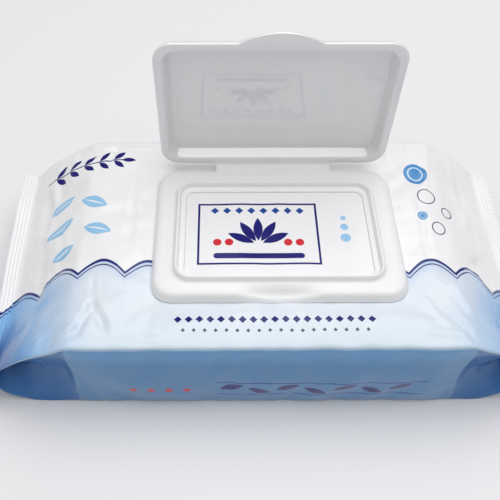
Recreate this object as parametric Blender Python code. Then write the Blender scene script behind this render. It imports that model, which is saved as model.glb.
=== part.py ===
"""Wet wipes pack: a sealed film pack with a moulded flip-top dispenser, lid standing open.

The origin is the centre of the pack's flat underside. +X runs along the pack, from one end
seal to the other, +Y points to the back, where the lid is hinged, and +Z is up. Metres.
"""
import math

import bmesh
import bpy
from mathutils import Matrix, Vector

MM = 0.001

# Driving dimensions, millimetres
PACK_DEPTH = 106.0        # folded wipe stack, front to back
PACK_HEIGHT = 45.0        # film top beside the dispenser
STACK_LENGTH = 150.0      # full-height stretch, along X
PACK_LENGTH = 224.0       # over both end seals
SEAL_WIDTH = 8.0          # crimped band at each end
SEAL_HEIGHT = 22.0        # height of the seals above the table
SEAL_THICKNESS = 0.9
EDGE_RADIUS = 6.0         # long edges of the film round the stack
TUCK = 19.08              # deepest fold of the gussets at each end

BASE_X = 4.5              # the dispenser sits a little off centre
BASE_WIDTH = 100.0
BASE_FRONT = -34.0
BASE_BACK = 32.5
BASE_HEIGHT = 4.2         # skirt, from the film to the flange
BASE_DRAFT = 1.6
BASE_FILLET = 0.9
PLATE = 1.1               # flange thickness over the hollow underside
SKIRT = 3.4               # skirt width at its foot
FRONT_LAND = 5.6          # solid front flange, under the thumb scoop
BASE_RADIUS = 8.5

RING_WIDTH = 81.4         # raised ring round the window
RING_FRONT = -26.0
RING_BACK = 23.6
RING_HEIGHT = 2.4
RING_WALL = 1.5
RING_RADIUS = 6.5
WINDOW_WIDTH = 73.6
WINDOW_FRONT = -23.0
WINDOW_BACK = 18.4
WINDOW_RADIUS = 3.5

SCOOP_WIDTH = 33.0
SCOOP_DEPTH = 2.9
SCOOP_REACH = 4.2         # from the front wall, short of the hollow underside

LID_WIDTH = 96.0
LID_LENGTH = 63.0
LID_HEIGHT = 6.2
LID_DRAFT = 2.2
LID_WALL = 1.2
LID_LIP = 3.0             # flat lip round the tray
TRAY_DRAFT = 2.0
TRAY_FILLET = 0.6
LID_RADIUS = 8.0
LID_FILLET = 1.2
TRAY_RADIUS = LID_RADIUS - LID_LIP + 1.0
TAB_WIDTH = 30.4
TAB_REACH = 4.8
TAB_THICKNESS = 1.3

HINGE_Y = 33.5            # axis of the moulded strip hinge
HINGE_GAP = 1.0           # axis to the lid's edge
HINGE_WIDTH = 49.6
HINGE_THICKNESS = 0.5
LID_OPENING = 90.0        # degrees from closed, as the pack stands

LABEL_THICKNESS = 0.3
GAP = 0.3                 # between touching pieces
OVERCUT = 5.0
TIP = 0.15                # strip ends stop this far from the axis

BASE_FOOT = PACK_HEIGHT + GAP
FLANGE_TOP = BASE_FOOT + BASE_HEIGHT
CROWN_TOP = FLANGE_TOP - PLATE - GAP
HINGE_Z = FLANGE_TOP


def clearScene():
    for item in list(bpy.data.objects):
        bpy.data.objects.remove(item, do_unlink=True)


def newCollection(name):
    group = bpy.data.collections.new(name)
    bpy.context.scene.collection.children.link(group)
    return group


def plainMaterial(name, color, roughness):
    material = bpy.data.materials.new(name)
    material.use_nodes = True
    shader = material.node_tree.nodes["Principled BSDF"]
    shader.inputs["Base Color"].default_value = (*color, 1.0)
    shader.inputs["Roughness"].default_value = roughness
    shader.inputs["Metallic"].default_value = 0.0
    return material


def newObject(name, mesh, group, material=None):
    item = bpy.data.objects.new(name, mesh)
    group.objects.link(item)
    if material:
        mesh.materials.append(material)
    return item


def roundedBlock(name, size, center, low, high, radius, draft=0.0, fillet=0.0):
    """A box mesh with rounded upright corners, drawn in by draft at its top, in millimetres."""
    shape = bmesh.new()
    bmesh.ops.create_cube(shape, size=1.0)
    bmesh.ops.scale(shape, vec=(size[0], size[1], high - low), verts=shape.verts)
    upright = [e for e in shape.edges if abs(e.verts[0].co.z - e.verts[1].co.z) > 0.5 * (high - low)]
    bmesh.ops.bevel(shape, geom=upright, offset=radius, segments=7, profile=0.5, affect="EDGES")
    top = [v for v in shape.verts if v.co.z > 0.0]
    narrow = (1.0 - 2.0 * draft / size[0], 1.0 - 2.0 * draft / size[1], 1.0)
    bmesh.ops.scale(shape, vec=narrow, verts=top)
    if fillet > 0.0:
        rim = [e for e in shape.edges if all(v.co.z > 0.0 for v in e.verts)]
        bmesh.ops.bevel(shape, geom=rim, offset=fillet, segments=3, profile=0.5, affect="EDGES")
    bmesh.ops.translate(shape, vec=(center[0], center[1], 0.5 * (low + high)), verts=shape.verts)
    bmesh.ops.scale(shape, vec=(MM, MM, MM), verts=shape.verts)
    mesh = bpy.data.meshes.new(name)
    shape.to_mesh(mesh)
    shape.free()
    return mesh


def discBlock(name, radius, center, low, high, axis, segments):
    """A cylinder mesh between two stations of one axis, in millimetres."""
    shape = bmesh.new()
    bmesh.ops.create_cone(shape, cap_ends=True, segments=segments, radius1=radius, radius2=radius,
                          depth=high - low)
    if axis == "Y":
        turn = Matrix.Rotation(math.radians(90.0), 3, "X")
        bmesh.ops.rotate(shape, matrix=turn, verts=shape.verts)
        place = Vector((center[0], 0.5 * (low + high), center[1]))
    else:
        place = Vector((center[0], center[1], 0.5 * (low + high)))
    bmesh.ops.translate(shape, vec=place, verts=shape.verts)
    bmesh.ops.scale(shape, vec=(MM, MM, MM), verts=shape.verts)
    mesh = bpy.data.meshes.new(name)
    shape.to_mesh(mesh)
    shape.free()
    return mesh


def combine(target, tool, operation):
    step = target.modifiers.new(tool.name, "BOOLEAN")
    step.operation = operation
    step.solver = "EXACT"
    step.object = tool


def hideTool(tool, parent=None):
    tool.hide_render = True
    tool.display_type = "WIRE"
    if parent:
        tool.parent = parent
    return tool


def smoothstep(value):
    value = min(1.0, max(0.0, value))
    return value * value * (3.0 - 2.0 * value)


def packSection(x):
    """One closed outline of the film at station x, counter-clockwise seen from +X."""
    taperStart = 0.5 * STACK_LENGTH
    taperEnd = 0.5 * PACK_LENGTH - SEAL_WIDTH
    taper = min(1.0, max(0.0, (abs(x) - taperStart) / (taperEnd - taperStart)))
    sealTop = SEAL_HEIGHT + 0.5 * SEAL_THICKNESS
    sealBottom = SEAL_HEIGHT - 0.5 * SEAL_THICKNESS
    top = PACK_HEIGHT + (sealTop - PACK_HEIGHT) * taper ** 1.1
    bottom = sealBottom * smoothstep(taper) ** 1.2
    half = 0.5 * PACK_DEPTH
    radius = min(EDGE_RADIUS, 0.48 * (top - bottom))
    middle = 0.5 * (top + bottom)
    tuck = TUCK * smoothstep(taper) * (1.0 - smoothstep(2.0 * taper - 1.0))
    outline = []
    corners = [(half, bottom, -90.0), (half, top, 0.0), (-half, top, 90.0), (-half, bottom, 180.0)]
    for side, height, start in corners:
        centerY = math.copysign(half - radius, side)
        centerZ = height + (radius if height < middle else -radius)
        for step in range(5):
            angle = math.radians(start + 22.5 * step)
            outline.append((centerY + radius * math.cos(angle), centerZ + radius * math.sin(angle)))
        if start == -90.0:
            outline.append((half - tuck, middle))
        if start == 90.0:
            outline.append((-half + tuck, middle))
    return [Vector((x, y, z)) * MM for y, z in outline]


def packStations():
    """Stations along X, close together where the ends taper."""
    taperStart = 0.5 * STACK_LENGTH
    taperEnd = 0.5 * PACK_LENGTH - SEAL_WIDTH
    positive = [taperStart * k / 3.0 for k in range(1, 4)]
    positive += [taperStart + (taperEnd - taperStart) * k / 8.0 for k in range(1, 9)]
    positive.append(0.5 * PACK_LENGTH)
    return [-x for x in reversed(positive)] + [0.0] + positive


def makeFilmPack(group, tools):
    film = plainMaterial("printed_film", (0.78, 0.86, 0.93), 0.32)
    shape = bmesh.new()
    rings = [[shape.verts.new(p) for p in packSection(x)] for x in packStations()]
    count = len(rings[0])
    for ring, following in zip(rings, rings[1:]):
        for k in range(count):
            after = (k + 1) % count
            shape.faces.new((ring[k], ring[after], following[after], following[k]))
    shape.faces.new(list(reversed(rings[0])))
    shape.faces.new(rings[-1])
    bmesh.ops.recalc_face_normals(shape, faces=shape.faces)
    mesh = bpy.data.meshes.new("film_pack")
    shape.to_mesh(mesh)
    shape.free()
    pack = newObject("film_pack", mesh, group, film)
    inset = SKIRT + GAP + 0.6
    size = (BASE_WIDTH - 2.0 * inset, BASE_BACK - BASE_FRONT - FRONT_LAND - inset - 2.0 * GAP)
    center = (BASE_X, 0.5 * (BASE_FRONT + FRONT_LAND + BASE_BACK - inset))
    crownMesh = roundedBlock("film_crown", size, center, PACK_HEIGHT - 3.0, CROWN_TOP, 5.0, 1.2)
    crown = hideTool(newObject("film_crown", crownMesh, tools))
    combine(pack, crown, "UNION")
    return pack


def makeLidBase(group, tools):
    plastic = plainMaterial("white_polypropylene", (0.90, 0.90, 0.91), 0.30)
    depth = BASE_BACK - BASE_FRONT
    centerY = 0.5 * (BASE_BACK + BASE_FRONT)
    outer = roundedBlock("lid_base", (BASE_WIDTH, depth), (BASE_X, centerY), BASE_FOOT, FLANGE_TOP,
                         BASE_RADIUS, BASE_DRAFT, BASE_FILLET)
    base = newObject("lid_base", outer, group, plastic)

    ringSize = (RING_WIDTH, RING_BACK - RING_FRONT)
    ringCenter = (BASE_X, 0.5 * (RING_BACK + RING_FRONT))
    ringTop = FLANGE_TOP + RING_HEIGHT
    ringMesh = roundedBlock("ring", ringSize, ringCenter, FLANGE_TOP - 0.5 * PLATE, ringTop,
                            RING_RADIUS, 0.2, 0.5)
    combine(base, hideTool(newObject("ring", ringMesh, tools)), "UNION")

    stripMesh = roundedBlock("strip", (HINGE_WIDTH, HINGE_Y - TIP - BASE_BACK + 4.0),
                             (BASE_X, 0.5 * (HINGE_Y - TIP + BASE_BACK - 4.0)),
                             FLANGE_TOP - TIP - HINGE_THICKNESS, FLANGE_TOP - TIP, 0.1)
    combine(base, hideTool(newObject("strip", stripMesh, tools)), "UNION")

    innerSize = (RING_WIDTH - 2.0 * RING_WALL, RING_BACK - RING_FRONT - 2.0 * RING_WALL)
    innerMesh = roundedBlock("ring_inside", innerSize, ringCenter, FLANGE_TOP, ringTop + OVERCUT,
                             RING_RADIUS - RING_WALL)
    combine(base, hideTool(newObject("ring_inside", innerMesh, tools)), "DIFFERENCE")

    windowSize = (WINDOW_WIDTH, WINDOW_BACK - WINDOW_FRONT)
    windowCenter = (BASE_X, 0.5 * (WINDOW_BACK + WINDOW_FRONT))
    windowMesh = roundedBlock("window", windowSize, windowCenter, BASE_FOOT - OVERCUT, ringTop + OVERCUT,
                              WINDOW_RADIUS)
    combine(base, hideTool(newObject("window", windowMesh, tools)), "DIFFERENCE")

    hollowSize = (BASE_WIDTH - 2.0 * SKIRT, depth - FRONT_LAND - SKIRT)
    hollowCenter = (BASE_X, 0.5 * (BASE_FRONT + FRONT_LAND + BASE_BACK - SKIRT))
    hollowMesh = roundedBlock("hollow", hollowSize, hollowCenter, BASE_FOOT - OVERCUT, FLANGE_TOP - PLATE,
                              BASE_RADIUS - SKIRT)
    combine(base, hideTool(newObject("hollow", hollowMesh, tools)), "DIFFERENCE")

    scoopRadius = (0.25 * SCOOP_WIDTH ** 2 + SCOOP_DEPTH ** 2) / (2.0 * SCOOP_DEPTH)
    scoopCenter = (BASE_X, FLANGE_TOP - SCOOP_DEPTH + scoopRadius)
    scoopMesh = discBlock("thumb_scoop", scoopRadius, scoopCenter, BASE_FRONT - OVERCUT,
                          BASE_FRONT + SCOOP_REACH, "Y", 120)
    combine(base, hideTool(newObject("thumb_scoop", scoopMesh, tools)), "DIFFERENCE")
    return base


def makePeelLabel(group):
    paper = plainMaterial("label_film", (0.93, 0.94, 0.97), 0.28)
    size = (WINDOW_WIDTH - 2.0 * GAP, WINDOW_BACK - WINDOW_FRONT - 2.0 * GAP)
    center = (BASE_X, 0.5 * (WINDOW_BACK + WINDOW_FRONT))
    low = CROWN_TOP + GAP
    mesh = roundedBlock("peel_label", size, center, low, low + LABEL_THICKNESS, WINDOW_RADIUS - GAP)
    return newObject("peel_label", mesh, group, paper)


def makeLid(group, tools):
    """Modelled closed about its hinge axis, then stood open."""
    plastic = plainMaterial("white_polypropylene_lid", (0.88, 0.88, 0.90), 0.28)
    centerY = -HINGE_GAP - 0.5 * LID_LENGTH
    top = GAP + LID_HEIGHT
    outer = roundedBlock("lid", (LID_WIDTH, LID_LENGTH), (0.0, centerY), GAP, top,
                         LID_RADIUS, LID_DRAFT, LID_FILLET)
    lid = newObject("lid", outer, group, plastic)

    tabRadius = (0.25 * TAB_WIDTH ** 2 + TAB_REACH ** 2) / (2.0 * TAB_REACH)
    tabCenter = (0.0, -HINGE_GAP - LID_LENGTH - TAB_REACH + tabRadius)
    tabMesh = discBlock("tab", tabRadius, tabCenter, GAP, GAP + TAB_THICKNESS, "Z", 96)
    combine(lid, hideTool(newObject("tab", tabMesh, tools), lid), "UNION")

    stripMesh = roundedBlock("lid_strip", (HINGE_WIDTH, HINGE_GAP + 1.5 - TIP),
                             (0.0, -0.5 * (HINGE_GAP + 1.5 + TIP)), TIP, TIP + HINGE_THICKNESS, 0.1)
    combine(lid, hideTool(newObject("lid_strip", stripMesh, tools), lid), "UNION")

    floorSize = (LID_WIDTH - 2.0 * LID_LIP, LID_LENGTH - 2.0 * LID_LIP)
    trayMesh = roundedBlock("tray", floorSize, (0.0, centerY), GAP, top - LID_WALL,
                            TRAY_RADIUS, TRAY_DRAFT, TRAY_FILLET)
    combine(lid, hideTool(newObject("tray", trayMesh, tools), lid), "DIFFERENCE")
    mouthMesh = roundedBlock("mouth", floorSize, (0.0, centerY), -OVERCUT, GAP + 0.001,
                             TRAY_RADIUS)
    combine(lid, hideTool(newObject("mouth", mouthMesh, tools), lid), "DIFFERENCE")

    lid.location = Vector((BASE_X, HINGE_Y, HINGE_Z)) * MM
    lid.rotation_euler = (math.radians(-LID_OPENING), 0.0, 0.0)
    return lid


def main():
    clearScene()
    group = newCollection("wet_wipes_pack")
    tools = newCollection("cutters")
    makeFilmPack(group, tools)
    makeLidBase(group, tools)
    makePeelLabel(group)
    makeLid(group, tools)
    bpy.context.view_layer.update()


main()
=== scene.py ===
import math

import bpy
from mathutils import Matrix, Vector, noise


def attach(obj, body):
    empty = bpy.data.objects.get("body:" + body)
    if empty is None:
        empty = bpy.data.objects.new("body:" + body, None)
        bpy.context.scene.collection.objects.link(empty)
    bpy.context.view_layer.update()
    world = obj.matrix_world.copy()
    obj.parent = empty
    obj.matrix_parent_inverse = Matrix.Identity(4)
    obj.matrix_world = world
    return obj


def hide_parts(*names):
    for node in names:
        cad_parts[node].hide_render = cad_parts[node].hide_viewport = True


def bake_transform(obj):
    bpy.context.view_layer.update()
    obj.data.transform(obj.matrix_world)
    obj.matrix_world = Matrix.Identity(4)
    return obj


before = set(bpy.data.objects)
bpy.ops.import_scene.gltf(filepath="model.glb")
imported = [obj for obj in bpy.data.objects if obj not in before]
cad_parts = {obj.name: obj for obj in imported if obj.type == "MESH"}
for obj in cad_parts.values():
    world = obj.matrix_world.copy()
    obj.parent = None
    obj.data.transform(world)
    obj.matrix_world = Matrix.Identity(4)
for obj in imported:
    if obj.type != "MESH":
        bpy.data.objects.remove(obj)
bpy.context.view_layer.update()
mm = 0.001


def deselectAll():
    for item in bpy.context.selected_objects:
        item.select_set(False)


def activate(item):
    deselectAll()
    item.select_set(True)
    bpy.context.view_layer.objects.active = item


def applyAll(item):
    activate(item)
    for modifier in list(item.modifiers):
        bpy.ops.object.modifier_apply(modifier=modifier.name)


def smoothstep(value):
    value = min(1.0, max(0.0, value))
    return value * value * (3.0 - 2.0 * value)


def mix(low, high, share):
    return low + (high - low) * share


studio = {
    "cameraPlace": (-17.1, -169.8, 266.4),   # mm
    "cameraPitch": 50.9,                     # degrees below the horizon
    "cameraTurn": -0.17,
    "lens": 48.96,
    "shift": (0.051, -0.0729),
    "floorSize": 6.0,
    "floorColor": (0.845, 0.84, 0.845, 1.0),
    "worldStrength": 0.36,
    "keyPower": 15.4,
    "keySize": 1.5,
    "keyPlace": (0.16, 0.10, 1.3),
    "fillPower": 0.5,
    "fillSize": 0.8,
    "fillPlace": (-0.9, -0.35, 0.6),
}


def addAreaLight(name, place, size, power, target=(0.0, 0.0, 0.04)):
    light = bpy.data.lights.new(name, "AREA")
    light.shape = "SQUARE"
    light.size = size
    light.energy = power
    lamp = bpy.data.objects.new(name, light)
    bpy.context.scene.collection.objects.link(lamp)
    lamp.location = place
    lamp.rotation_euler = (Vector(target) - Vector(place)).to_track_quat("-Z", "Y").to_euler()
    return lamp


def makeStudio():
    lensData = bpy.data.cameras.new("camera")
    lensData.lens = studio["lens"]
    lensData.shift_x, lensData.shift_y = studio["shift"]
    lensData.clip_start = 0.01
    camera = bpy.data.objects.new("camera", lensData)
    bpy.context.scene.collection.objects.link(camera)
    camera.location = [c * mm for c in studio["cameraPlace"]]
    lean, turn = math.radians(90.0 - studio["cameraPitch"]), math.radians(studio["cameraTurn"])
    camera.rotation_euler = (lean, 0.0, turn)
    bpy.context.scene.camera = camera
    bpy.context.scene.view_settings.view_transform = "Standard"

    world = bpy.data.worlds.new("studio_air")
    world.use_nodes = True
    world.node_tree.nodes["Background"].inputs["Color"].default_value = (1.0, 1.0, 1.0, 1.0)
    world.node_tree.nodes["Background"].inputs["Strength"].default_value = studio["worldStrength"]
    bpy.context.scene.world = world
    addAreaLight("key", studio["keyPlace"], studio["keySize"], studio["keyPower"])
    addAreaLight("fill", studio["fillPlace"], studio["fillSize"], studio["fillPower"])

    deselectAll()
    bpy.ops.mesh.primitive_plane_add(size=studio["floorSize"], location=(0.0, 0.0, 0.0))
    floor = bpy.context.object
    floor.name = "floor"
    paint = bpy.data.materials.new("floor_paint")
    paint.use_nodes = True
    shader = paint.node_tree.nodes["Principled BSDF"]
    shader.inputs["Base Color"].default_value = studio["floorColor"]
    shader.inputs["Roughness"].default_value = 0.6
    floor.data.materials.append(paint)


makeStudio()
print("studio ready")


def newPaint(name):
    paint = bpy.data.materials.new(name)
    paint.use_nodes = True
    return paint, paint.node_tree, paint.node_tree.nodes["Principled BSDF"]


def calc(tree, operation, first, second=None, third=None, clamp=False):
    node = tree.nodes.new("ShaderNodeMath")
    node.operation = operation
    node.use_clamp = clamp
    for socket, value in zip(node.inputs, (first, second, third)):
        if value is None:
            continue
        if hasattr(value, "links"):
            tree.links.new(value, socket)
        else:
            socket.default_value = value
    return node.outputs[0]


def layColor(tree, under, over, mask):
    node = tree.nodes.new("ShaderNodeMix")
    node.data_type = "RGBA"
    for socket, value in ((node.inputs[0], mask), (node.inputs[6], under), (node.inputs[7], over)):
        if hasattr(value, "links"):
            tree.links.new(value, socket)
        else:
            socket.default_value = value
    return node.outputs[2]


def ramp(tree, value, stops, interpolation="LINEAR"):
    node = tree.nodes.new("ShaderNodeValToRGB")
    node.color_ramp.interpolation = interpolation
    elements = node.color_ramp.elements
    while len(elements) > 1:
        elements.remove(elements[-1])
    for index, (place, color) in enumerate(stops):
        element = elements[0] if index == 0 else elements.new(place)
        element.position = place
        element.color = color if isinstance(color, tuple) else (color, color, color, 1.0)
    tree.links.new(value, node.inputs[0])
    return node.outputs[0]


def noiseOf(tree, vector, scale, detail=2.0):
    node = tree.nodes.new("ShaderNodeTexNoise")
    node.inputs["Scale"].default_value = scale
    node.inputs["Detail"].default_value = detail
    tree.links.new(vector, node.inputs["Vector"])
    return node.outputs[0]


def inside(tree, distance, edge):
    # ink mask from a distance in millimetres, soft over one edge width
    return calc(tree, "MULTIPLY_ADD", distance, -1.0 / edge, 0.5, clamp=True)


def boxMask(tree, u, v, middleU, middleV, width, height, edge=0.12):
    outU = calc(tree, "SUBTRACT", calc(tree, "ABSOLUTE", calc(tree, "SUBTRACT", u, middleU)), 0.5 * width)
    outV = calc(tree, "SUBTRACT", calc(tree, "ABSOLUTE", calc(tree, "SUBTRACT", v, middleV)), 0.5 * height)
    return inside(tree, calc(tree, "MAXIMUM", outU, outV), edge)


def barMask(tree, u, v, startU, endU, middleV, height, edge=0.12):
    # a stroke with round ends
    radius = 0.5 * height
    held = calc(tree, "MINIMUM", calc(tree, "MAXIMUM", u, startU + radius), endU - radius)
    along = calc(tree, "SUBTRACT", u, held)
    across = calc(tree, "SUBTRACT", v, middleV)
    square = calc(tree, "MULTIPLY_ADD", along, along, calc(tree, "MULTIPLY", across, across))
    return inside(tree, calc(tree, "SUBTRACT", calc(tree, "SQRT", square), radius), edge)


def discDistance(tree, u, v, middleU, middleV, stretch=1.0):
    alongU = calc(tree, "MULTIPLY", calc(tree, "SUBTRACT", u, middleU), stretch)
    alongV = calc(tree, "SUBTRACT", v, middleV)
    square = calc(tree, "MULTIPLY_ADD", alongU, alongU, calc(tree, "MULTIPLY", alongV, alongV))
    return calc(tree, "SQRT", square)


def ringMask(tree, distance, radius, line, edge=0.12):
    nearLine = calc(tree, "ABSOLUTE", calc(tree, "SUBTRACT", distance, radius))
    return inside(tree, calc(tree, "SUBTRACT", nearLine, 0.5 * line), edge)


def bothOf(tree, first, second):
    return calc(tree, "MULTIPLY", first, second)


def eitherOf(tree, *masks):
    total = masks[0]
    for mask in masks[1:]:
        total = calc(tree, "MAXIMUM", total, mask)
    return total


inks = {
    "white": (0.87, 0.87, 0.885, 1.0),
    "navy": (0.003, 0.001, 0.15, 1.0),
    "deepBlue": (0.008, 0.055, 0.30, 1.0),
    "waveNavy": (0.004, 0.010, 0.15, 1.0),
    "sideBlue": (0.095, 0.255, 0.500, 1.0),
    # deeper blue for the tucked end panels: partly a deeper print, partly painted shade in the tuck
    "foldBlueAndShade": (0.035, 0.150, 0.400, 1.0),
    # lighter blue for the top of the front face: a painted highlight
    "sidePaintedHighlight": (0.14, 0.34, 0.62, 1.0),
    # pale band over the front top edge: partly the print's edge, partly a painted highlight on the glossy
    # fold
    "edgePrintAndHighlight": (0.42, 0.56, 0.70, 1.0),
    "waterBlue": (0.20, 0.43, 0.76, 1.0),
    "paleBlue": (0.62, 0.78, 0.92, 1.0),
    "ribbonBlue": (0.30, 0.56, 0.82, 1.0),
    "discBlue": (0.07, 0.27, 0.58, 1.0),
    "red": (0.62, 0.015, 0.03, 1.0),
    "line": (0.05, 0.06, 0.12, 1.0),
}
printPlan = {
    "fieldLevel": -20.0,
    "scallopRise": 6.0,
    "scallopPitch": 18.5,
    # depth below the edge and thickness
    "pinstripes": ((0.7, 1.3), (2.7, 0.6)),
    # middle, length, width and lean of each leaf
    "leafTrail": ((-88.0, 22.0, 13.0, 3.0, 20.0), (-72.0, 16.5, 13.0, 3.0, -24.0),
                  (-86.0, 7.5, 13.0, 3.0, 26.0), (-69.0, 1.5, 13.0, 3.0, -18.0),
                  (-83.0, -6.0, 10.0, 2.4, 22.0)),
    "sprig": (-96.0, -62.0, 39.5),
    "sprigPairs": 5,
    # middle, radius and whether filled
    "bubbles": ((67.0, 31.5, 5.6, True), (69.5, 18.5, 4.0, False), (77.5, 11.5, 2.4, False),
                (66.0, 8.0, 2.2, True), (71.5, 1.5, 3.0, False)),
    "bubbleStretch": 1.1,
    "sideLeaves": (-14.0, 11.0, 7),              # first, pitch, count
    "sideMiddle": 82.0,                          # round the girth, from the top middle
    # start, end, middle, pitch and half size of each row of diamonds
    "topRows": ((-36.0, 40.0, -41.4, 4.0, 1.5), (-34.0, 38.0, -45.9, 4.0, 0.8)),
    "sideRow": (-56.0, -28.0, 82.0, 7.0, 1.9),
    "sideLines": ((-20.0, 62.0, 76.4, 0.8), (-20.0, 62.0, 87.8, 0.8)),
}


def printUv(tree):
    source = tree.nodes.new("ShaderNodeUVMap")
    source.uv_map = "print"
    split = tree.nodes.new("ShaderNodeSeparateXYZ")
    tree.links.new(source.outputs[0], split.inputs[0])
    return source.outputs[0], split.outputs[0], split.outputs[1]


def scallopEdge(tree, u, level, rise, pitch):
    turn = calc(tree, "DIVIDE", u, pitch / math.pi)
    return calc(tree, "MULTIPLY_ADD", calc(tree, "ABSOLUTE", calc(tree, "SINE", turn)), rise, level)


def paintField(tree, place, u, v, color):
    edge = scallopEdge(tree, u, printPlan["fieldLevel"], printPlan["scallopRise"], printPlan["scallopPitch"])
    below = calc(tree, "SUBTRACT", edge, v)
    body = inside(tree, calc(tree, "MULTIPLY", below, -1.0), 0.25)
    fade = ramp(tree, calc(tree, "DIVIDE", below, 34.0),
                [(0.0, 0.85), (0.22, 0.30), (0.6, 0.12), (1.0, 0.10)])
    endShare = ramp(tree, calc(tree, "DIVIDE", calc(tree, "ABSOLUTE", u), 111.0),
                    [(0.0, 0.0), (0.58, 0.05), (0.70, 0.42), (0.80, 0.85), (0.93, 1.0)])
    tint = calc(tree, "MAXIMUM", calc(tree, "MULTIPLY", fade, 0.75), endShare)
    cloudy = noiseOf(tree, place, 0.045, 3.0)
    tint = calc(tree, "MULTIPLY", tint, calc(tree, "MULTIPLY_ADD", cloudy, 1.1, 0.35), clamp=True)
    color = layColor(tree, color, inks["waterBlue"], bothOf(tree, body, tint))
    deep = ramp(tree, calc(tree, "DIVIDE", calc(tree, "ABSOLUTE", u), 111.0), [(0.78, 0.0), (0.93, 1.0)])
    deep = bothOf(tree, deep, ramp(tree, calc(tree, "DIVIDE", below, 40.0), [(0.25, 0.0), (0.62, 1.0)]))
    color = layColor(tree, color, inks["deepBlue"], bothOf(tree, body, calc(tree, "MULTIPLY", deep, 0.85)))
    for offset, thick in printPlan["pinstripes"]:
        line = calc(tree, "ABSOLUTE", calc(tree, "SUBTRACT", below, offset))
        mask = inside(tree, calc(tree, "SUBTRACT", line, 0.5 * thick), 0.18)
        color = layColor(tree, color, inks["waveNavy"], mask)
    return color


def leafMask(tree, u, v, middle, size, angle):
    turn = math.radians(angle)
    offU = calc(tree, "SUBTRACT", u, middle[0])
    offV = calc(tree, "SUBTRACT", v, middle[1])
    along = calc(tree, "MULTIPLY_ADD", offU, math.cos(turn), calc(tree, "MULTIPLY", offV, math.sin(turn)))
    across = calc(tree, "MULTIPLY_ADD", offV, math.cos(turn), calc(tree, "MULTIPLY", offU, -math.sin(turn)))
    length, width = size
    # two arcs that meet at both tips
    square = calc(tree, "MULTIPLY", along, along)
    bow = calc(tree, "MULTIPLY_ADD", square, width / (0.5 * length) ** 2, -width)
    return inside(tree, calc(tree, "ADD", calc(tree, "ABSOLUTE", across), bow), 0.18)


def paintSprig(tree, u, v, color):
    stemStart, stemEnd, level = printPlan["sprig"]
    pitch = (stemEnd - stemStart) / printPlan["sprigPairs"]
    leaves = []
    for pair in range(printPlan["sprigPairs"]):
        rootU = stemStart + (pair + 0.55) * pitch
        for side in (-1.0, 1.0):
            leaves.append(leafMask(tree, u, v, (rootU + 1.9, level + side * 2.5), (6.4, 1.25), side * 42.0))
    leaves.append(leafMask(tree, u, v, (stemEnd + 3.0, level), (6.4, 1.25), 0.0))
    stem = barMask(tree, u, v, stemStart - 2.0, stemEnd + 1.0, level, 0.6)
    return layColor(tree, color, inks["navy"], eitherOf(tree, stem, *leaves))


def paintTrail(tree, u, v, color):
    for middleU, middleV, length, width, lean in printPlan["leafTrail"]:
        leaf = leafMask(tree, u, v, (middleU, middleV), (length, width), lean)
        vein = leafMask(tree, u, v, (middleU, middleV), (0.8 * length, 0.35), lean)
        color = layColor(tree, color, inks["ribbonBlue"], leaf)
        color = layColor(tree, color, inks["white"], vein)
    return color


def paintBubbles(tree, u, v, color):
    for middleU, middleV, radius, filled in printPlan["bubbles"]:
        distance = discDistance(tree, u, v, middleU, middleV, printPlan["bubbleStretch"])
        if filled:
            disc = inside(tree, calc(tree, "SUBTRACT", distance, radius), 0.2)
            color = layColor(tree, color, inks["discBlue"], disc)
            ring = ringMask(tree, distance, 0.62 * radius, 0.12 * radius)
            color = layColor(tree, color, inks["paleBlue"], ring)
        else:
            color = layColor(tree, color, inks["line"], ringMask(tree, distance, radius, 0.5))
    return color


def diamondRow(tree, u, v, startU, endU, middleV, pitch, size):
    share = calc(tree, "DIVIDE", calc(tree, "SUBTRACT", u, startU), pitch)
    cell = calc(tree, "SUBTRACT", calc(tree, "FRACT", share), 0.5)
    reach = calc(tree, "ADD", calc(tree, "MULTIPLY", calc(tree, "ABSOLUTE", cell), pitch),
                 calc(tree, "ABSOLUTE", calc(tree, "SUBTRACT", v, middleV)))
    row = boxMask(tree, u, v, 0.5 * (startU + endU), middleV, endU - startU, 3.0 * size)
    return bothOf(tree, row, inside(tree, calc(tree, "SUBTRACT", reach, size), 0.15))


def paintLattice(tree, u, v, color):
    large, small = printPlan["topRows"]
    color = layColor(tree, color, inks["navy"], diamondRow(tree, u, v, *large))
    return layColor(tree, color, inks["line"], diamondRow(tree, u, v, *small))


def paintSideBand(tree, u, walls, color):
    first, pitch, count = printPlan["sideLeaves"]
    leaves = []
    for step in range(count):
        swing = 1.0 if step % 2 else -1.0
        middle = (first + step * pitch, printPlan["sideMiddle"] + 1.6 * swing)
        leaves.append(leafMask(tree, u, walls, middle, (10.5, 2.2), 28.0 * swing))
    color = layColor(tree, color, inks["navy"], eitherOf(tree, *leaves))
    lines = [barMask(tree, u, walls, *row) for row in printPlan["sideLines"]]
    color = layColor(tree, color, inks["deepBlue"], eitherOf(tree, *lines))
    return layColor(tree, color, inks["red"], diamondRow(tree, u, walls, *printPlan["sideRow"]))


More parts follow.
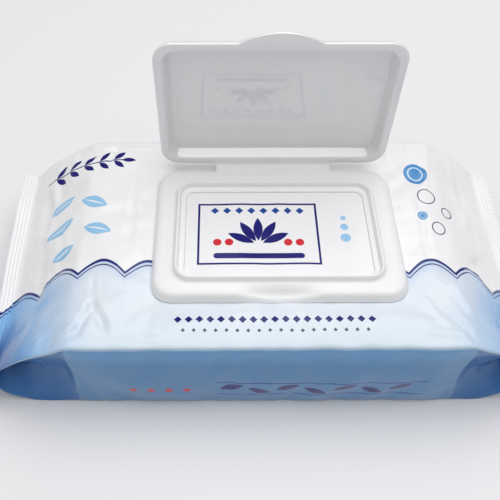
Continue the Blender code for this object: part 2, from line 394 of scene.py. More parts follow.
def paintFilm(tree):
    place, u, v = printUv(tree)
    walls = calc(tree, "ABSOLUTE", v)
    topTone = ramp(tree, calc(tree, "DIVIDE", calc(tree, "ADD", v, 60.0), 40.0),
                   [(0.0, (0.66, 0.76, 0.85, 1.0)), (0.25, (0.72, 0.80, 0.87, 1.0)), (1.0, inks["white"])])
    color = paintField(tree, place, u, v, topTone)
    # a pale band over the front top edge: partly the print's edge, partly a painted highlight along the
    # glossy fold
    strip = inside(tree, calc(tree, "SUBTRACT", 52.9, walls), 0.7)
    color = layColor(tree, color, inks["edgePrintAndHighlight"], strip)
    # the top few millimetres of the front face are painted lighter: a painted highlight where the face turns
    # up to the edge
    sideTone = ramp(tree, calc(tree, "DIVIDE", calc(tree, "SUBTRACT", walls, 53.0), 45.0),
                    [(0.0, inks["sidePaintedHighlight"]), (0.10, inks["sidePaintedHighlight"]), (0.24, inks["sideBlue"])])
    # past the stack's ends the side turns deeper blue: partly deeper print, partly painted shade on the
    # tucked panels
    foldPrintAndShade = ramp(tree, calc(tree, "DIVIDE", calc(tree, "ABSOLUTE", u), 111.0),
                    [(0.0, 0.0), (0.680, 0.0), (0.688, 0.85), (0.86, 1.0), (0.97, 0.55)])
    sideTone = layColor(tree, sideTone, inks["foldBlueAndShade"], foldPrintAndShade)
    color = layColor(tree, color, sideTone, inside(tree, calc(tree, "SUBTRACT", 54.1, walls), 0.8))
    color = paintTrail(tree, u, v, color)

    color = paintSprig(tree, u, v, color)
    color = paintBubbles(tree, u, v, color)
    color = paintLattice(tree, u, v, color)
    return place, paintSideBand(tree, u, walls, color)


def makeFilmPaint():
    paint, tree, shader = newPaint("film_print")
    place, color = paintFilm(tree)
    tree.links.new(color, shader.inputs["Base Color"])
    shader.inputs["Roughness"].default_value = 0.26
    shader.inputs["Specular IOR Level"].default_value = 0.30
    shader.inputs["Coat Weight"].default_value = 0.30
    shader.inputs["Coat Roughness"].default_value = 0.10
    bump = tree.nodes.new("ShaderNodeBump")
    bump.inputs["Strength"].default_value = 0.30
    bump.inputs["Distance"].default_value = 0.0010
    soft = noiseOf(tree, place, 0.09, 4.0)
    split = tree.nodes.new("ShaderNodeSeparateXYZ")
    tree.links.new(place, split.inputs[0])
    nearEnds = ramp(tree, calc(tree, "DIVIDE", calc(tree, "ABSOLUTE", split.outputs[0]), 111.0),
                    [(0.0, 0.10), (0.52, 0.15), (0.66, 0.8), (0.84, 1.0), (0.95, 0.5)])
    fold = calc(tree, "ABSOLUTE", calc(tree, "SUBTRACT", noiseOf(tree, place, 0.055, 2.0), 0.5))
    sharp = calc(tree, "MULTIPLY", calc(tree, "MINIMUM", calc(tree, "MULTIPLY", fold, 9.0), 1.0), nearEnds)
    tree.links.new(calc(tree, "MULTIPLY_ADD", sharp, 0.55, soft), bump.inputs["Height"])
    tree.links.new(bump.outputs[0], shader.inputs["Normal"])
    return paint


film = {
    "leftEnd": 113.4,           # outer edges of the end seals, from the middle of the stack
    "rightEnd": 109.6,
    "depth": 106.0,
    "height": 45.0,
    "stackHalf": 75.5,
    "sealWidth": 8.0,
    "sealGap": 0.34,            # half the spacing of the outer layers inside the seals
    "stepsAlong": 92,
    "stepsRound": 120,
    "crownHeight": 2.95,
    "crownEdge": 6.0,
    "tuckShare": 0.72,          # the folded sides stand less deep than a flat web would
    "simScale": 10.0,           # cloth runs at ten times size, where its settings are steady
    "simFrames": 16,
    "pressure": 0.12,
    "growth": -0.006,           # negative shrink: the web is cut a little larger than the stack
    "streakHeight": 1.21,
    "blockRounding": 2.2,
    "contactGap": 0.4,
    "stiffness": 40.0,
    "bending": 0.6,
    "webMass": 0.15,
    "pinnedEnd": 6.0,           # before the seals
    # from x, y, to x, y, width and height of each crease
    "creases": (
        (-67.8, -23.0, -66.5, -35.0, 0.8, -0.8), (-66.5, -34.5, -71.5, -46.0, 1.8, -1.9),
        (-66.5, -34.5, -60.5, -46.0, 1.8, -1.6), (-79.8, -49.4, -70.5, -42.0, 1.2, 1.1),
        (-69.8, -43.0, -69.4, -36.0, 1.0, 0.6), (-88.0, -46.0, -79.0, -38.0, 1.6, 0.8),
        (-55.0, -47.5, -40.0, -49.5, 1.0, 0.5), (66.5, -36.0, 75.0, -50.0, 1.4, -1.3),
        (61.8, -31.8, 69.3, -44.5, 1.1, -0.8), (58.0, -46.5, 74.0, -48.0, 1.2, 0.7),
        (72.0, -26.0, 78.0, -42.0, 1.3, 0.8), (-84.0, 43.0, -62.0, 46.5, 1.0, -0.8),
        (-80.0, 48.5, -52.0, 48.0, 0.9, 0.6), (-68.0, 38.0, -64.0, 50.0, 1.0, -0.6),
        (70.0, 24.0, 76.0, 50.0, 1.5, 0.8), (-98.0, 42.0, -88.0, 18.0, 2.4, 0.7),
        (-102.0, 16.0, -90.0, 4.0, 2.6, 0.6), (-103.0, -6.0, -90.0, -16.0, 3.0, 0.6),
        (-97.0, 34.0, -94.0, -10.0, 3.0, -0.7), (98.0, 34.0, 86.0, 10.0, 2.4, 0.9),
        (100.0, 2.0, 84.0, -12.0, 2.2, -0.9), (101.0, -20.0, 90.0, -38.0, 1.8, -1.0),
        (92.0, 40.0, 92.0, -4.0, 2.6, -0.9), (-55.0, 38.0, -55.0, -8.0, 1.6, -0.35),
        (66.0, 16.0, 64.0, -14.0, 1.8, -0.45),
    ),
    "frontReach": 3.2,          # the front corners of the seals stand further out than the back ones
    "seed": 7,
}
base = {
    "middleX": 4.5, "width": 100.0, "front": -34.0, "back": 32.5,
}


def sealStart(x):
    return (film["rightEnd"] if x > 0.0 else film["leftEnd"]) - film["sealWidth"]


def sealLift(x, y):
    # height of the middle of an end seal, which hangs lower at the front and waves a little
    backShare = 0.5 + y / film["depth"]
    if x < 0.0:
        return 14.8 + 7.4 * backShare + 0.7 * math.sin(y / 11.0) + 0.4 * math.sin(y / 5.3 + 1.0)
    return 20.0 + 2.2 * backShare + 0.8 * math.sin(y / 13.0 + 2.0) + 0.4 * math.sin(y / 5.9)


def frontReach(side, y):
    reach = film["frontReach"] * smoothstep((-y - 5.0) / 45.0)
    return reach if side < 0.0 else 0.6 * reach


def filmSection(x, s):
    # where the web at station x and girth s lies; s is 0 at the top middle and grows to the back
    half = 0.5 * film["depth"]
    height = film["height"]
    start = film["stackHalf"]
    taper = min(1.0, max(0.0, (abs(x) - start) / (sealStart(x) - start)))
    side = 1.0 if s >= 0.0 else -1.0
    run = abs(s)
    across = min(run, half) if run <= half + height else 2.0 * half + height - run
    middle = sealLift(x, side * across)
    frontShare = 1.0 if side < 0.0 else 0.35
    late = smoothstep((across - 26.0) / 24.0) * frontShare       # the mouth closes late at the gussets
    late *= 9.5 * smoothstep(1.6 * taper) * (1.0 - smoothstep((taper - 0.88) / 0.12))
    top = mix(height, middle + film["sealGap"], taper ** 1.05) + 0.7 * late
    bottom = mix(0.0, middle - film["sealGap"], smoothstep(taper) ** 1.1) - late
    legHalf = 0.5 * (top - bottom)
    tuck = film["tuckShare"] * math.sqrt(max(0.0, (0.5 * height) ** 2 - legHalf ** 2))
    if run <= half:
        y, z = run, top
    elif run <= half + height:
        share = (run - half) / height
        z = mix(top, bottom, share)
        y = half - tuck * (1.0 - abs(2.0 * share - 1.0))
        z += (sealLift(x, side * y) - middle) * taper ** 1.1
    else:
        y, z = across, bottom
    if z > height - 0.5:
        z += crownRise(x, side * y)
    shift = math.copysign(frontReach(x, side * across) * taper ** 2, x)
    return x + shift, side * y, max(z, 0.0)


def crownRise(x, y):
    # the stack domes up a little into the hollow under the dispenser frame
    insideX = 0.5 * base["width"] - 6.4 - abs(x - base["middleX"])
    insideY = min(y - base["front"] - 7.6, base["back"] - 4.6 - y)
    edge = film["crownEdge"]
    return film["crownHeight"] * smoothstep(insideX / edge + 0.6) * smoothstep(insideY / edge + 0.6)


def makeFilmSheet():
    # the flat web, as it leaves the roll, rolled into the pack's tube
    girth = 2.0 * (film["depth"] + film["height"])
    ends = (-film["leftEnd"] + film["sealWidth"] - 2.0, film["rightEnd"] - film["sealWidth"] + 2.0)
    deselectAll()
    bpy.ops.mesh.primitive_grid_add(x_subdivisions=film["stepsAlong"], y_subdivisions=film["stepsRound"],
                                    size=1.0, calc_uvs=False, location=(0.0, 0.0, 0.0))
    wrap = bpy.context.object
    wrap.name = "film_wrap"
    mesh = wrap.data
    layer = mesh.uv_layers.new(name="print")
    flat = [(mix(ends[0], ends[1], v.co.x + 0.5), v.co.y * girth) for v in mesh.vertices]
    for loop in mesh.loops:
        layer.data[loop.index].uv = flat[loop.vertex_index]
    pins = wrap.vertex_groups.new(name="pins")
    for vertex, (x, s) in zip(mesh.vertices, flat):
        vertex.co = Vector(filmSection(x, s)) * mm * film["simScale"]
        underBase = (abs(x - base["middleX"]) < 0.5 * base["width"] - 1.0 and abs(s) < 0.5 * film["depth"]
                     and base["front"] + 1.0 < s < base["back"] - 1.0)
        underside = abs(s) > 0.5 * film["depth"] + film["height"] + 6.0 and abs(x) < 66.0
        sideFold = (abs(x) > film["stackHalf"] - 0.6
                    and -0.8 < abs(s) - 0.5 * film["depth"] < film["height"] + 0.8)
        nearSeal = abs(x) > sealStart(x) - film["pinnedEnd"]
        if underBase or underside or sideFold or nearSeal:
            pins.add([vertex.index], 1.0, "REPLACE")
    activate(wrap)
    bpy.ops.object.mode_set(mode="EDIT")
    bpy.ops.mesh.select_all(action="SELECT")
    bpy.ops.mesh.remove_doubles(threshold=0.0002)
    bpy.ops.mesh.normals_make_consistent(inside=False)
    bpy.ops.object.mode_set(mode="OBJECT")
    return wrap


def makeStackBlock():
    # the folded wipes inside, as the block that the film is drawn over. It is removed afterwards
    deselectAll()
    scale = mm * film["simScale"]
    size = (2.0 * film["stackHalf"] - 3.0, film["depth"] - 2.4, film["height"] - 1.2)
    bpy.ops.mesh.primitive_cube_add(size=1.0, location=(0.0, 0.0, 0.5 * film["height"] * scale))
    block = bpy.context.object
    block.scale = [c * scale for c in size]
    bpy.ops.object.transform_apply(location=False, rotation=False, scale=True)
    rounding = block.modifiers.new("rounding", "BEVEL")
    rounding.width = film["blockRounding"] * scale
    rounding.segments = 3
    applyAll(block)
    block.modifiers.new("contact", "COLLISION")
    block.collision.thickness_outer = film["contactGap"] * scale
    block.collision.cloth_friction = 3.0
    return block


def simulateFilm(wrap):
    block = makeStackBlock()
    scale = mm * film["simScale"]
    activate(wrap)
    cloth = wrap.modifiers.new("cloth", "CLOTH")
    settings = cloth.settings
    settings.quality = 6
    settings.mass = film["webMass"]
    settings.tension_stiffness = film["stiffness"]
    settings.compression_stiffness = film["stiffness"]
    settings.shear_stiffness = 0.5 * film["stiffness"]
    settings.bending_stiffness = film["bending"]
    settings.air_damping = 2.0
    settings.use_pressure = True
    settings.uniform_pressure_force = film["pressure"]
    settings.shrink_min = film["growth"]
    settings.shrink_max = film["growth"]
    settings.vertex_group_mass = "pins"
    settings.pin_stiffness = 1.0
    settings.effector_weights.gravity = 0.0
    cloth.collision_settings.distance_min = film["contactGap"] * scale
    cloth.collision_settings.use_self_collision = False
    scene = bpy.context.scene
    scene.frame_start = 1
    scene.frame_end = film["simFrames"]
    cloth.point_cache.frame_start = 1
    cloth.point_cache.frame_end = film["simFrames"]
    for step in range(1, film["simFrames"] + 1):
        scene.frame_set(step)
    activate(wrap)
    bpy.ops.object.modifier_apply(modifier="cloth")
    bpy.data.objects.remove(block, do_unlink=True)
    scene.frame_set(1)


def creaseHeight(x, y):
    total = 0.0
    for x1, y1, x2, y2, width, height in film["creases"]:
        runX, runY = x2 - x1, y2 - y1
        length = math.hypot(runX, runY)
        along = ((x - x1) * runX + (y - y1) * runY) / length ** 2
        across = abs((x - x1) * runY - (y - y1) * runX) / length
        if -0.3 < along < 1.3 and across < 4.0 * width:
            ends = smoothstep((along + 0.2) / 0.4) * smoothstep((1.2 - along) / 0.4)
            total += height * ends * (1.6 * math.exp(-(across / width) ** 2)
                                      - 0.6 * math.exp(-(across / (2.2 * width)) ** 2))
    return total


def creaseFilm(wrap):
    # sharp folds and soft streaks that the coarse cloth can't hold, on the top and the end slopes
    half = 0.5 * film["depth"]
    normals = [vertex.normal.copy() for vertex in wrap.data.vertices]
    for vertex, normal in zip(wrap.data.vertices, normals):
        x, y, z = vertex.co / mm
        if normal.z < 0.25:
            continue
        edge = smoothstep((half - abs(y)) / 4.0)
        slope = smoothstep((abs(x) - 78.0) / 8.0) * smoothstep((sealStart(x) - abs(x)) / 8.0)
        streak = noise.noise(Vector((0.16 * x, 0.035 * y, film["seed"])))
        streak += 0.5 * noise.noise(Vector((0.34 * x, 0.06 * y + 0.1 * x, film["seed"] + 5.0)))
        underBase = (abs(x - base["middleX"]) < 0.5 * base["width"] + 1.0
                     and base["front"] - 1.0 < y < base["back"] + 1.0)
        # the lid folds back over this stretch
        swung = smoothstep((54.0 - abs(x - base["middleX"])) / 5.0) * smoothstep((y - 31.0) / 2.0)
        vertex.co.z -= 0.85 * max(0.0, z - 45.1) * swung * mm
        closing = smoothstep((sealStart(x) - abs(x) - 1.5) / 12.0) * (1.0 - swung)
        lift = 0.0 if underBase else creaseHeight(x, y) + film["streakHeight"] * streak * slope
        vertex.co += normal * (lift * closing * max(0.35, edge)) * mm


seal = {"stepsAcross": 20, "stepsAlong": 270, "thickness": 0.90, "ribPitch": 1.6, "ribHeight": 0.16,
        "toothPitch": 2.4, "toothHeight": 0.75, "printShare": 0.97}


def makeEndSeal(name, side):
    # a crimped band: ribs along the pack's depth and a zig-zag cut edge
    deselectAll()
    bpy.ops.mesh.primitive_grid_add(x_subdivisions=seal["stepsAcross"], y_subdivisions=seal["stepsAlong"],
                                    size=1.0, location=(0.0, 0.0, 0.0))
    band = bpy.context.object
    band.name = name
    layer = band.data.uv_layers.new(name="print")
    places = []
    inner = sealStart(side) - 0.8
    for vertex in band.data.vertices:
        outward = vertex.co.x + 0.5
        y = vertex.co.y * (film["depth"] + 0.6)
        tooth = abs(2.0 * ((y / seal["toothPitch"]) % 1.0) - 1.0) * seal["toothHeight"]
        reach = inner + frontReach(side, y) + outward * (film["sealWidth"] + 0.8)
        reach -= tooth * smoothstep((outward - 0.85) / 0.15)
        rib = seal["ribHeight"] * math.sin(2.0 * math.pi * reach / seal["ribPitch"])
        droop = 0.5 * outward ** 2 * math.sin(y / 17.0 + side)
        vertex.co = Vector((side * reach, y, sealLift(side, y) + rib + droop)) * mm
        places.append((side * reach, seal["printShare"] * y))
    for loop in band.data.loops:
        layer.data[loop.index].uv = places[loop.vertex_index]
    activate(band)
    thick = band.modifiers.new("thickness", "SOLIDIFY")
    thick.thickness = seal["thickness"] * mm
    thick.offset = 0.0
    applyAll(band)
    bpy.ops.object.shade_smooth_by_angle(angle=math.radians(40.0))
    return band


def makeFilmWrap():
    wrap = makeFilmSheet()
    before = [v.co.copy() for v in wrap.data.vertices]
    simulateFilm(wrap)
    moved = [(v.co - b).length / (mm * film["simScale"]) for v, b in zip(wrap.data.vertices, before)]
    print("film moved up to", round(max(moved), 2), "mm, mean", round(sum(moved) / len(moved), 2))
    for vertex in wrap.data.vertices:
        vertex.co = vertex.co / film["simScale"]
        vertex.co.z = max(vertex.co.z, 0.0)
    wrap.vertex_groups.clear()
    smooth = wrap.modifiers.new("smooth", "SUBSURF")
    smooth.levels = 1
    smooth.render_levels = 1
    applyAll(wrap)
    creaseFilm(wrap)
    bpy.ops.object.shade_smooth()
    return wrap


wrap = makeFilmWrap()
filmPaint = makeFilmPaint()
wrap.data.materials.append(filmPaint)
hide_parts("film_pack")
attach(wrap, "pack")
for name, side in (("end_seal_left", -1.0), ("end_seal_right", 1.0)):
    band = makeEndSeal(name, side)
    band.data.materials.append(filmPaint)
    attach(band, "pack")
print("film ready")


moulding = {
    "middleX": 4.5,
    "pointsRound": 240,
    "cornerShare": 0.28,          # of each quarter of a loop
    "scoopHalf": 17.0,
    "scoopStart": -28.0,
    "scoopShare": 0.70,           # of the frame's height
    "hingeY": 33.5,
    "hingeZ": 49.5,
    "opening": 90.0,
    "tabHalf": 15.6,
    "tabReach": 4.7,
    "stripHalf": 24.8,
    "stripThickness": 0.36,
    "foot": 45.3,
    "scoopRings": (15, 22),
}
# each loop: width, front, back, corner radius, height
frameLoops = (
    (73.6, -24.2, 18.4, 3.5, 48.4), (73.6, -24.2, 18.4, 3.5, 49.0), (73.9, -24.35, 18.55, 3.6, 49.35),
    (74.6, -24.6, 18.9, 3.9, 49.5), (76.8, -24.9, 20.2, 4.4, 49.52), (77.8, -25.1, 20.7, 4.7, 49.65),
    (78.3, -25.3, 20.95, 5.0, 50.05), (78.6, -25.4, 21.1, 5.1, 51.0), (79.0, -25.55, 21.3, 5.3, 51.5),
    (79.7, -25.8, 21.6, 5.6, 51.78), (80.4, -26.1, 21.9, 6.0, 51.78), (81.0, -26.4, 22.25, 6.3, 51.45),
    (81.5, -26.7, 22.5, 6.6, 50.8), (82.1, -27.0, 22.9, 6.9, 50.05), (82.9, -27.5, 23.4, 7.2, 49.68),
    (84.2, -28.2, 24.3, 7.6, 49.5), (90.0, -30.0, 27.4, 8.0, 49.48), (93.4, -31.0, 29.4, 8.0, 49.38),
    (95.4, -31.8, 30.3, 8.1, 49.1), (96.8, -32.5, 31.0, 8.2, 48.6), (97.6, -32.9, 31.4, 8.3, 47.9),
    (98.6, -33.3, 31.8, 8.4, 46.8), (99.6, -33.8, 32.3, 8.5, 45.7), (99.4, -33.7, 32.2, 8.4, 45.35),
    (93.2, -28.4, 29.1, 5.1, 45.3), (93.0, -28.3, 29.0, 5.0, 48.3), (92.4, -28.0, 28.7, 4.8, 48.4),
    (73.6, -24.2, 18.4, 3.5, 48.4),
)
# the same, with the lid shut: front and back from the hinge axis, heights from the rim plane
lidLoops = (
    (60.0, -46.0, -19.0, 3.0, 5.3), (82.0, -57.0, -8.0, 3.0, 5.3), (84.4, -58.2, -6.8, 4.0, 5.24),
    (85.6, -58.8, -6.2, 4.6, 4.95), (86.3, -59.15, -5.85, 5.0, 4.4), (88.8, -60.4, -4.6, 6.0, 1.3),
    (89.4, -60.7, -4.3, 6.2, 0.7), (90.2, -61.1, -3.9, 6.5, 0.4), (91.2, -61.6, -3.4, 6.8, 0.3),
    (94.8, -63.4, -1.6, 7.5, 0.3), (95.6, -63.8, -1.2, 7.8, 0.42), (96.0, -64.0, -1.0, 8.0, 0.8),
    (95.9, -63.95, -1.05, 8.0, 1.3), (95.4, -63.7, -1.3, 7.8, 1.7), (94.6, -63.3, -1.7, 7.6, 2.5),
    (92.4, -62.2, -2.8, 7.0, 5.2), (91.6, -61.8, -3.2, 6.8, 5.9), (90.4, -61.2, -3.8, 6.3, 6.35),
    (88.6, -60.3, -4.7, 5.8, 6.5), (60.0, -46.0, -19.0, 3.0, 6.5),
)
lidTabLoops = (9, 10, 11, 12, 13)


def roundedPoint(loop, turn):
    # point of a rounded rectangle; turn runs 0 to 1 round it
    width, front, back, radius, height = loop
    halfX, halfY = 0.5 * width - radius, 0.5 * (back - front) - radius
    quarter = int(4.0 * turn) % 4
    local = 4.0 * turn - int(4.0 * turn)
    centers = ((halfX, halfY), (-halfX, halfY), (-halfX, -halfY), (halfX, -halfY))
    share = moulding["cornerShare"]

    def onCorner(index, angle):
        center = centers[index % 4]
        angle = math.radians(90.0 * (index % 4) + angle)
        return center[0] + radius * math.cos(angle), center[1] + radius * math.sin(angle)

    if local <= share:
        x, y = onCorner(quarter, 90.0 * local / share)
    else:
        x1, y1 = onCorner(quarter, 90.0)
        x2, y2 = onCorner(quarter + 1, 0.0)
        along = (local - share) / (1.0 - share)
        x, y = mix(x1, x2, along), mix(y1, y2, along)
    return x, y + 0.5 * (front + back), height


def sweepLoops(name, loops, shape):
    # a moulding drawn as one loop of edges, extruded once for each further loop and then set to size
    count = moulding["pointsRound"]
    deselectAll()
    bpy.ops.mesh.primitive_circle_add(vertices=count, radius=1.0, location=(0.0, 0.0, 0.0))
    item = bpy.context.object
    item.name = name
    bpy.ops.object.mode_set(mode="EDIT")
    bpy.ops.mesh.select_all(action="SELECT")
    for _ in loops[1:]:
        bpy.ops.mesh.extrude_edges_move(TRANSFORM_OT_translate={"value": (0.0, 0.0, 1.0)})
    bpy.ops.object.mode_set(mode="OBJECT")
    for vertex in item.data.vertices:
        turn = (math.atan2(vertex.co.y, vertex.co.x) / (2.0 * math.pi)) % 1.0
        turn = round(turn * count) % count / count
        ring = int(round(vertex.co.z))
        vertex.co = Vector(shape(ring, *roundedPoint(loops[ring], turn))) * mm
    return item


def closeAndTurnOut(item, fill):
    activate(item)
    bpy.ops.object.mode_set(mode="EDIT")
    bpy.ops.mesh.select_all(action="SELECT")
    bpy.ops.mesh.remove_doubles(threshold=0.000002)
    if fill:
        bpy.ops.mesh.select_all(action="DESELECT")
        bpy.ops.mesh.select_mode(type="EDGE")
        bpy.ops.mesh.select_non_manifold()
        bpy.ops.mesh.fill_holes(sides=0)
        bpy.ops.mesh.select_mode(type="VERT")
        bpy.ops.mesh.select_all(action="SELECT")
    bpy.ops.mesh.normals_make_consistent(inside=False)
    bpy.ops.object.mode_set(mode="OBJECT")
    bpy.ops.object.shade_smooth_by_angle(angle=math.radians(35.0))


def frameShape(ring, x, y, z):
    foot = moulding["foot"]
    firstRing, lastRing = moulding["scoopRings"]
    if firstRing <= ring <= lastRing and y < moulding["scoopStart"] + 1.0:
        across = 1.0 - min(1.0, abs(x) / moulding["scoopHalf"]) ** 2
        reach = smoothstep((moulding["scoopStart"] - y) / 3.6)
        z = foot + (z - foot) * (1.0 - moulding["scoopShare"] * across * reach)
    return x + moulding["middleX"], y, z


def lidShape(ring, x, y, z):
    if ring in lidTabLoops and y < -60.0:
        half, reach = moulding["tabHalf"], moulding["tabReach"]
        bend = (half * half + reach * reach) / (2.0 * reach)
        rise = math.sqrt(max(0.0, bend * bend - x * x)) - (bend - reach)
        y -= max(0.0, rise) * smoothstep(1.0 + rise / 1.2) if abs(x) < half else 0.0
    angle = math.radians(-moulding["opening"])
    turnedY = y * math.cos(angle) - z * math.sin(angle)
    turnedZ = y * math.sin(angle) + z * math.cos(angle)
    return x + moulding["middleX"], turnedY + moulding["hingeY"], turnedZ + moulding["hingeZ"]


def makeHingeStrip():
    # the thin web moulded between frame and lid; it bends a quarter turn at rest
    half = moulding["stripHalf"]
    y0, z0 = moulding["hingeY"], moulding["hingeZ"]
    path = [(y0 - 4.2, z0 - 0.25), (y0 - 2.4, z0 - 0.22), (y0 - 1.2, z0 - 0.16), (y0 - 0.5, z0 - 0.05),
            (y0 + 0.02, z0 + 0.30), (y0 + 0.30, z0 + 0.9), (y0 + 0.46, z0 + 1.6), (y0 + 0.55, z0 + 2.6)]
    deselectAll()
    bpy.ops.mesh.primitive_grid_add(x_subdivisions=40, y_subdivisions=len(path) - 1, size=1.0,
                                    location=(0.0, 0.0, 0.0))
    strip = bpy.context.object
    strip.name = "hinge_strip"
    for vertex in strip.data.vertices:
        step = int(round((vertex.co.y + 0.5) * (len(path) - 1)))
        y, z = path[step]
        vertex.co = Vector((moulding["middleX"] + 2.0 * half * vertex.co.x, y, z)) * mm
    activate(strip)
    thick = strip.modifiers.new("thickness", "SOLIDIFY")
    thick.thickness = moulding["stripThickness"] * mm
    thick.offset = 0.0
    rounding = strip.modifiers.new("rounding", "SUBSURF")
    rounding.levels = rounding.render_levels = 1
    applyAll(strip)
    bpy.ops.object.shade_smooth()
    return strip


# color, roughness, grain and gloss
plastics = {
    "frame_polypropylene": ((0.875, 0.875, 0.885, 1.0), 0.34, 900.0, 0.05),
    # the lid is the frame's plastic, painted a little darker: painted shade for its front-facing panel
    "lid_polypropylene_painted_shade": ((0.84, 0.84, 0.855, 1.0), 0.24, 900.0, 1.0),
    "strip_polypropylene": ((0.90, 0.90, 0.91, 1.0), 0.36, 700.0, 0.1),
}


def makePlasticPaint(name):
    color, roughness, grain, gloss = plastics[name]
    # satin polypropylene: a little light passes in, and the mould leaves a fine grain
    paint, tree, shader = newPaint(name)
    source = tree.nodes.new("ShaderNodeTexCoord")
    place = source.outputs["Object"]
    mottle = noiseOf(tree, place, 38.0, 3.0)
    shade = layColor(tree, tuple(c * 0.965 for c in color[:3]) + (1.0,), color, mottle)
    tree.links.new(shade, shader.inputs["Base Color"])
    polish = noiseOf(tree, place, 120.0, 2.0)
    tree.links.new(calc(tree, "MULTIPLY_ADD", polish, 0.10, roughness - 0.05), shader.inputs["Roughness"])
    shader.inputs["Coat Weight"].default_value = gloss
    shader.inputs["Coat Roughness"].default_value = 0.05
    shader.inputs["Coat IOR"].default_value = 1.75
    shader.inputs["Subsurface Weight"].default_value = 0.12
    shader.inputs["Subsurface Radius"].default_value = (0.004, 0.004, 0.004)
    shader.inputs["Subsurface Scale"].default_value = 0.5
    bump = tree.nodes.new("ShaderNodeBump")
    bump.inputs["Strength"].default_value = 0.10
    bump.inputs["Distance"].default_value = 0.00012
    tree.links.new(noiseOf(tree, place, grain, 3.0), bump.inputs["Height"])
    tree.links.new(bump.outputs[0], shader.inputs["Normal"])
    return paint


lidFrame = sweepLoops("lid_frame", frameLoops, frameShape)
closeAndTurnOut(lidFrame, False)
lidFrame.data.materials.append(makePlasticPaint("frame_polypropylene"))
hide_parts("lid_base")
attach(lidFrame, "pack")

lidTray = sweepLoops("lid_tray", lidLoops, lidShape)
closeAndTurnOut(lidTray, True)
# the lid's darker colour is painted shade on the same plastic as the frame
lidTray.data.materials.append(makePlasticPaint("lid_polypropylene_painted_shade"))
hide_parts("lid")
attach(lidTray, "lid")

strip = makeHingeStrip()
strip.data.materials.append(makePlasticPaint("strip_polypropylene"))
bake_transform(strip)
print("dispenser ready")


label = {
    "middleX": 4.5, "width": 73.5, "front": -24.15, "back": 18.35, "level": 48.6,
    "swell": 0.34, "thickness": 0.16, "cornerRadius": 3.2,
}


def makeLabelSheet():
    deselectAll()
    bpy.ops.mesh.primitive_grid_add(x_subdivisions=72, y_subdivisions=40, size=1.0, location=(0.0, 0.0, 0.0))
    sheet = bpy.context.object
    sheet.name = "label_sheet"
    layer = sheet.data.uv_layers.new(name="print")
    places = []
    radius = label["cornerRadius"]
    halfX, halfY = 0.5 * label["width"], 0.5 * (label["back"] - label["front"])
    for vertex in sheet.data.vertices:
        x, y = 2.0 * halfX * vertex.co.x, 2.0 * halfY * vertex.co.y
        overX, overY = abs(x) - (halfX - radius), abs(y) - (halfY - radius)
        if overX > 0.0 and overY > 0.0:      # square corner squeezed into a round one
            reach = max(overX, overY)
            size = math.hypot(overX, overY)
            x = math.copysign(halfX - radius + overX * reach / size, x)
            y = math.copysign(halfY - radius + overY * reach / size, y)
        x += label["middleX"]
        y += 0.5 * (label["front"] + label["back"])
        ripple = noise.noise(Vector((x, y, 3.0)) * 0.075) + 0.4 * noise.noise(Vector((x, y, 9.0)) * 0.19)
        edge = smoothstep(min(halfX - abs(x - label["middleX"]),
                              halfY - abs(y - 0.5 * (label["front"] + label["back"]))) / 6.0)
        places.append((x, y))
        vertex.co = Vector((x, y, label["level"] + label["swell"] * ripple * edge)) * mm
    for loop in sheet.data.loops:
        layer.data[loop.index].uv = places[loop.vertex_index]
    activate(sheet)
    thick = sheet.modifiers.new("thickness", "SOLIDIFY")
    thick.thickness = label["thickness"] * mm
    thick.offset = 0.0
    applyAll(sheet)
    bpy.ops.object.shade_smooth_by_angle(angle=math.radians(40.0))
    return sheet


labelPrint = {
    "whites": ((0.865, 0.86, 0.875, 1.0), (0.83, 0.83, 0.85, 1.0)),
    "border": (-3.0, -3.0, 24.0, 15.0, 0.45),    # middle, half sides and half line
    "fanRoot": (-3.0, -8.5, 7.6),                # root and the reach to each leaf's middle
    "fanTurns": (-66.0, -33.0, 0.0, 33.0, 66.0),
    "leafSize": (11.5, 1.9),
    "diamonds": (-23.0, 17.0, 8.6, 5.0, 1.7),
    "foot": (-21.0, 15.0, -14.2, 2.6),
    "berries": ((-19.5, -7.6, 1.7), (-14.8, -7.6, 1.7), (8.8, -7.6, 1.7), (13.5, -7.6, 1.7)),
    "dots": ((32.0, 4.5, 1.1), (32.0, 0.0, 1.6), (32.0, -5.5, 2.1)),
}


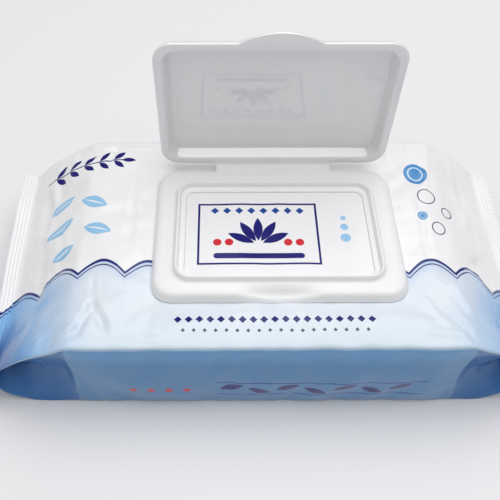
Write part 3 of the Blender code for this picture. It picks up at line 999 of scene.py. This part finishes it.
def makeLabelPaint():
    paint, tree, shader = newPaint("label_print")
    place, u, v = printUv(tree)
    color = layColor(tree, *labelPrint["whites"], noiseOf(tree, place, 0.05, 3.0))
    middleU, middleV, halfU, halfV, line = labelPrint["border"]
    pastU = calc(tree, "SUBTRACT", calc(tree, "ABSOLUTE", calc(tree, "SUBTRACT", u, middleU)), halfU)
    pastV = calc(tree, "SUBTRACT", calc(tree, "ABSOLUTE", calc(tree, "SUBTRACT", v, middleV)), halfV)
    nearLine = calc(tree, "ABSOLUTE", calc(tree, "MAXIMUM", pastU, pastV))
    border = inside(tree, calc(tree, "SUBTRACT", nearLine, line), 0.15)
    rootU, rootV, reach = labelPrint["fanRoot"]
    fan = []
    for turn in labelPrint["fanTurns"]:
        middle = (rootU + reach * math.sin(math.radians(turn)), rootV + reach * math.cos(math.radians(turn)))
        fan.append(leafMask(tree, u, v, middle, labelPrint["leafSize"], 90.0 - turn))
    foot = barMask(tree, u, v, *labelPrint["foot"])
    color = layColor(tree, color, inks["navy"], eitherOf(tree, border, foot, *fan))
    color = layColor(tree, color, inks["deepBlue"], diamondRow(tree, u, v, *labelPrint["diamonds"]))
    for ink, group in (("red", "berries"), ("ribbonBlue", "dots")):
        spots = [inside(tree, calc(tree, "SUBTRACT", discDistance(tree, u, v, spotU, spotV), radius), 0.15)
                 for spotU, spotV, radius in labelPrint[group]]
        color = layColor(tree, color, inks[ink], eitherOf(tree, *spots))
    tree.links.new(color, shader.inputs["Base Color"])
    shader.inputs["Roughness"].default_value = 0.28
    shader.inputs["Specular IOR Level"].default_value = 0.25
    shader.inputs["Coat Weight"].default_value = 0.15
    shader.inputs["Coat Roughness"].default_value = 0.1
    bump = tree.nodes.new("ShaderNodeBump")
    bump.inputs["Strength"].default_value = 0.15
    bump.inputs["Distance"].default_value = 0.0004
    tree.links.new(noiseOf(tree, place, 0.12, 3.0), bump.inputs["Height"])
    tree.links.new(bump.outputs[0], shader.inputs["Normal"])
    return paint


labelSheet = makeLabelSheet()
labelSheet.data.materials.append(makeLabelPaint())
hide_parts("peel_label")
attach(labelSheet, "pack")
print("label ready")
